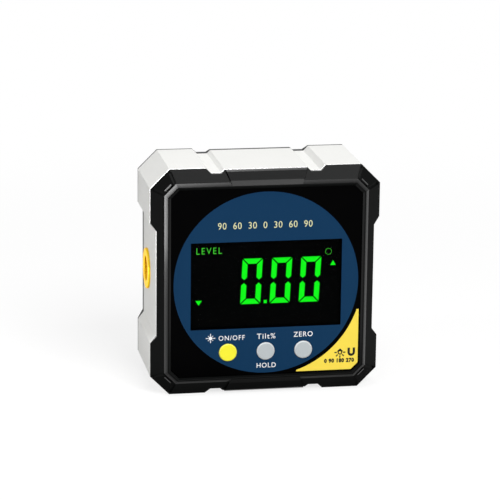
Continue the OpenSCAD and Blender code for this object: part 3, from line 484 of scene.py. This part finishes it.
scale = lettering("90  60  30  0  30  60  90", (-12.8, 11.9), (14.35, 16.1), ink_front, ink_depth,
                  0.0, 1.1)
piece("print_scale", scale, ink_cream)
labels = (
    ("power", "ON/OFF", (-12.4, -5.55), (-15.35, -14.05), 1.2),
    ("tilt", "Tilt%", (-2.34, 2.55), (-15.30, -13.85), 1.2),
    ("zero", "ZERO", (7.36, 12.42), (-15.10, -13.75), 1.15),
    ("hold", "HOLD", (-2.32, 2.74), (-23.12, -21.82), 1.15),
)
label_weight = 0.004
for name, words, span, rise, spacing in labels:
    label = lettering(words, span, rise, ink_front, ink_depth, label_weight, spacing)
    piece("print_" + name, label, ink_white)

sun_at = (-14.53, -14.62)
sun = [disc(*sun_at, 0.48)]
sun += rays(*sun_at, 0.55, 1.25, 0.17, 0, 90, 4)
sun += rays(*sun_at, 0.58, 0.95, 0.14, 45, 90, 4)
piece("print_light", prisms("light", sun, ink_front, ink_depth), ink_white)

lamp_at = (19.8, -19.85)
lamp = hoop(*lamp_at, 0.62, 0.32, count=36)
for side in (-1, 1):
    roof = np.array([(0.0, 1.08), (0.0, 0.52), (side * 0.50, 0.10), (side * 0.82, 0.32)]) + lamp_at
    lamp += [roof if side < 0 else roof[::-1]]
lamp += rays(*lamp_at, 0.84, 1.46, 0.32, 180, 45, 5)
piece("print_lamp", prisms("lamp", lamp, ink_front, ink_depth), ink_black)

magnet_x, magnet_z = 22.82, -19.93
magnet_outer, magnet_inner, magnet_arm = 1.0, 0.38, 1.25
magnet = hoop(magnet_x, magnet_z, magnet_outer, magnet_inner, 180, 360, 24)
for side in (-1, 1):
    low_x, high_x = sorted((magnet_x + side * magnet_inner, magnet_x + side * magnet_outer))
    arm_top = magnet_z + magnet_arm
    magnet += [[(low_x, magnet_z), (high_x, magnet_z), (high_x, arm_top), (low_x, arm_top)]]
piece("print_magnet", prisms("magnet", magnet, ink_front, ink_depth), ink_black)
quarters = lettering("0 90 180 270", (15.6, 23.6), (-22.65, -21.45), ink_front, ink_depth, 0.07, 1.2)
piece("print_quarters", quarters, ink_black)

# Keys: three moulded caps with a fine satin skin, one yellow and two grey. Each has a flange behind
# the panel and presses on the plunger of its switch.


def key_cap(name, dark, light, highlight_tint):
    """Finish of a key: fine satin grain; smoother where the cap rounds over, with a painted highlight
    there in a lighter colour.
    """
    made, shader, place = finish(name, Specular_IOR_Level=0.3)
    grain = place.noise(0.14 * mm, 3.0)
    rounding_and_painted_highlight = place.normal().axis("Y").ramp(-0.98, -0.8)
    # The lighter colour where the cap rounds over is a painted highlight; the smoother roughness
    # there is the cap's own.
    rounding_and_painted_highlight.tint(grain.tint(dark, light), highlight_tint).into(shader, "Base Color")
    (0.4 + grain * 0.12 - rounding_and_painted_highlight * 0.1).into(shader, "Roughness")
    raised(grain, shader, 0.004 * mm)
    return made


# The last colour of each key is the painted highlight on its rounded edge.
key_yellow = key_cap("key_yellow", (0.95, 0.87, 0.030), (1.0, 0.93, 0.042), (1.0, 0.95, 0.12))
dress(key_yellow, "power_button")
key_grey = key_cap("key_grey", (0.45, 0.49, 0.505), (0.56, 0.60, 0.615), (0.72, 0.75, 0.76))
dress(key_grey, "hold_button", "zero_button")
dress(switch_dark, "power_plunger", "hold_plunger", "zero_plunger")

# Back cover and battery door: black mouldings with a spark texture like the bezel's. The cover is
# held by four screws, and the door hangs on two pins and has a ribbed thumb catch.

cover_black = grained("cover_black", (0.0085, 0.009, 0.0095), (0.0155, 0.016, 0.0165), 0.13 * mm,
                      (0.42, 0.6), 0.012 * mm, Specular_IOR_Level=0.3)
dress(cover_black, "back_cover", "battery_door")

# Battery cells: steel cans in a plain green sleeve that is rolled over both ends. Their contacts are
# nickel plated spring steel, a sheet at one end and a coned spring at the other.

cell_wrap, shader, place = finish("cell_wrap", Coat_Weight=0.3, Coat_Roughness=0.1)
bare_end = 1.5 * mm
sleeve_end = min(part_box("cell_upper")[1].x, -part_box("cell_lower")[0].x) - bare_end
along = place.axis("X")
bare = (along > sleeve_end) + (along < -sleeve_end)
wrap = place.noise(1.2 * mm).tint((0.035, 0.17, 0.055), (0.06, 0.24, 0.085))
bare.tint(wrap, (0.60, 0.61, 0.62)).into(shader, "Base Color")
bare.into(shader, "Metallic")
(0.3 + place.noise(0.4 * mm) * 0.12).into(shader, "Roughness")
dress(cell_wrap, "cell_upper", "cell_lower")
contact_steel = grained("contact_steel", (0.50, 0.51, 0.53), (0.68, 0.69, 0.70), 0.25 * mm,
                        (0.25, 0.4), 0.003 * mm, Metallic=1.0)
dress(contact_steel, "contact_bridge", "contact_plus", "contact_minus")

# Stage: a pale floor, a white surround, a soft lamp above the viewer, one overhead, one high at the
# left and a low strip at the left that lights the rim. The camera has the photograph's view.

studio = bpy.data.worlds.new("studio")
scene.world = studio
studio.use_nodes = True
background = studio.node_tree.nodes["Background"]
background.inputs["Color"].default_value = (1.0, 1.0, 1.0, 1.0)


def looked_at(tree):
    """Two masks: 1 for rays from the eye or through glass, and 1 for rays from mirrors."""
    eye, glass, mirrored = (Shade(tree).add("ShaderNodeLightPath", out=name) for name in
                            ("Is Camera Ray", "Is Transmission Ray", "Is Glossy Ray"))
    return eye.math("MAXIMUM", eye, glass), mirrored


def grey(level):
    return (level, level, level)


sky_light = 0.28
eye, mirrored = looked_at(studio.node_tree)
between(sky_light, 1.0, eye.math("MAXIMUM", eye, mirrored)).into(background, "Strength")

floor_half = 3.0
floor_mesh = bpy.data.meshes.new("floor")
floor_mesh.from_pydata([(-floor_half, -floor_half, 0), (floor_half, -floor_half, 0),
                        (floor_half, floor_half, 0), (-floor_half, floor_half, 0)],
                       [], [(0, 1, 2, 3)])
paper, shader, place = finish("white_paper", Roughness=0.9, Specular_IOR_Level=0.0,
                              Emission_Strength=1.0)
distance = place.vector("LENGTH", out="Value")
far_off = distance.ramp(0.08, 0.3)
eye, mirrored = looked_at(paper.node_tree)
near_shade = far_off.tint(grey(0.26), grey(0.0))
eye.tint(grey(0.50), near_shade).into(shader, "Base Color")
near_glow = far_off.tint(grey(0.75), grey(1.0))
# Seen in mirrors, the floor glows less under the case: a painted shadow of the case in its
# reflections.
painted_shadow_under_case = distance.ramp(0.034, 0.055).tint(grey(0.1), grey(1.0))
mirror_glow = mirrored.tint(grey(0.0), painted_shadow_under_case)
eye.tint(mirror_glow, near_glow).into(shader, "Emission Color")
floor_mesh.materials.append(paper)
floor = bpy.data.objects.new("floor", floor_mesh)
scene.collection.objects.link(floor)


def softbox(name, stand, aim, width, height, radiance):
    """Area lamp that stands at a point, faces another and is as bright as its radiance says."""
    lamp = bpy.data.lights.new(name, "AREA")
    lamp.shape = "RECTANGLE"
    lamp.size = width
    lamp.size_y = height
    lamp.energy = radiance * np.pi * width * height
    holder = bpy.data.objects.new(name, lamp)
    back = np.subtract(stand, aim) / np.linalg.norm(np.subtract(stand, aim))
    right = np.cross((0, 0, 1), back) / np.linalg.norm(np.cross((0, 0, 1), back))
    turn = np.eye(4)
    turn[:3, :3] = np.column_stack([right, np.cross(back, right), back])
    turn[:3, 3] = stand
    holder.matrix_world = Matrix(turn.tolist())
    holder.visible_camera = False
    scene.collection.objects.link(holder)


middle = (0, 0, middle_z)
left_rim = (-0.03, -0.012, middle_z)
softbox("key_lamp", (0.25, -0.75, 0.75), middle, 0.5, 0.5, 11.0)
softbox("top_lamp", (-0.08, -0.20, 0.90), middle, 0.36, 0.28, 6.5)
softbox("corner_lamp", (-0.50, -0.22, 0.46), middle, 0.09, 0.09, 15.0)
softbox("rim_lamp", (-0.15, -0.036, middle_z), left_rim, 0.011, 0.05, 15.0)

camera = bpy.data.cameras.new("camera")
camera.sensor_fit = "HORIZONTAL"
camera.sensor_width = 36.0
camera.lens = 179.32
viewer = bpy.data.objects.new("camera", camera)
camera_place = Vector((-0.11425, -0.62405, 0.20110))
camera_turn = Euler(np.radians((75.307, -0.596, -10.058)).tolist())
viewer.matrix_world = Matrix.LocRotScale(camera_place, camera_turn, None)
scene.collection.objects.link(viewer)
scene.camera = viewer
scene.view_settings.view_transform = "Standard"
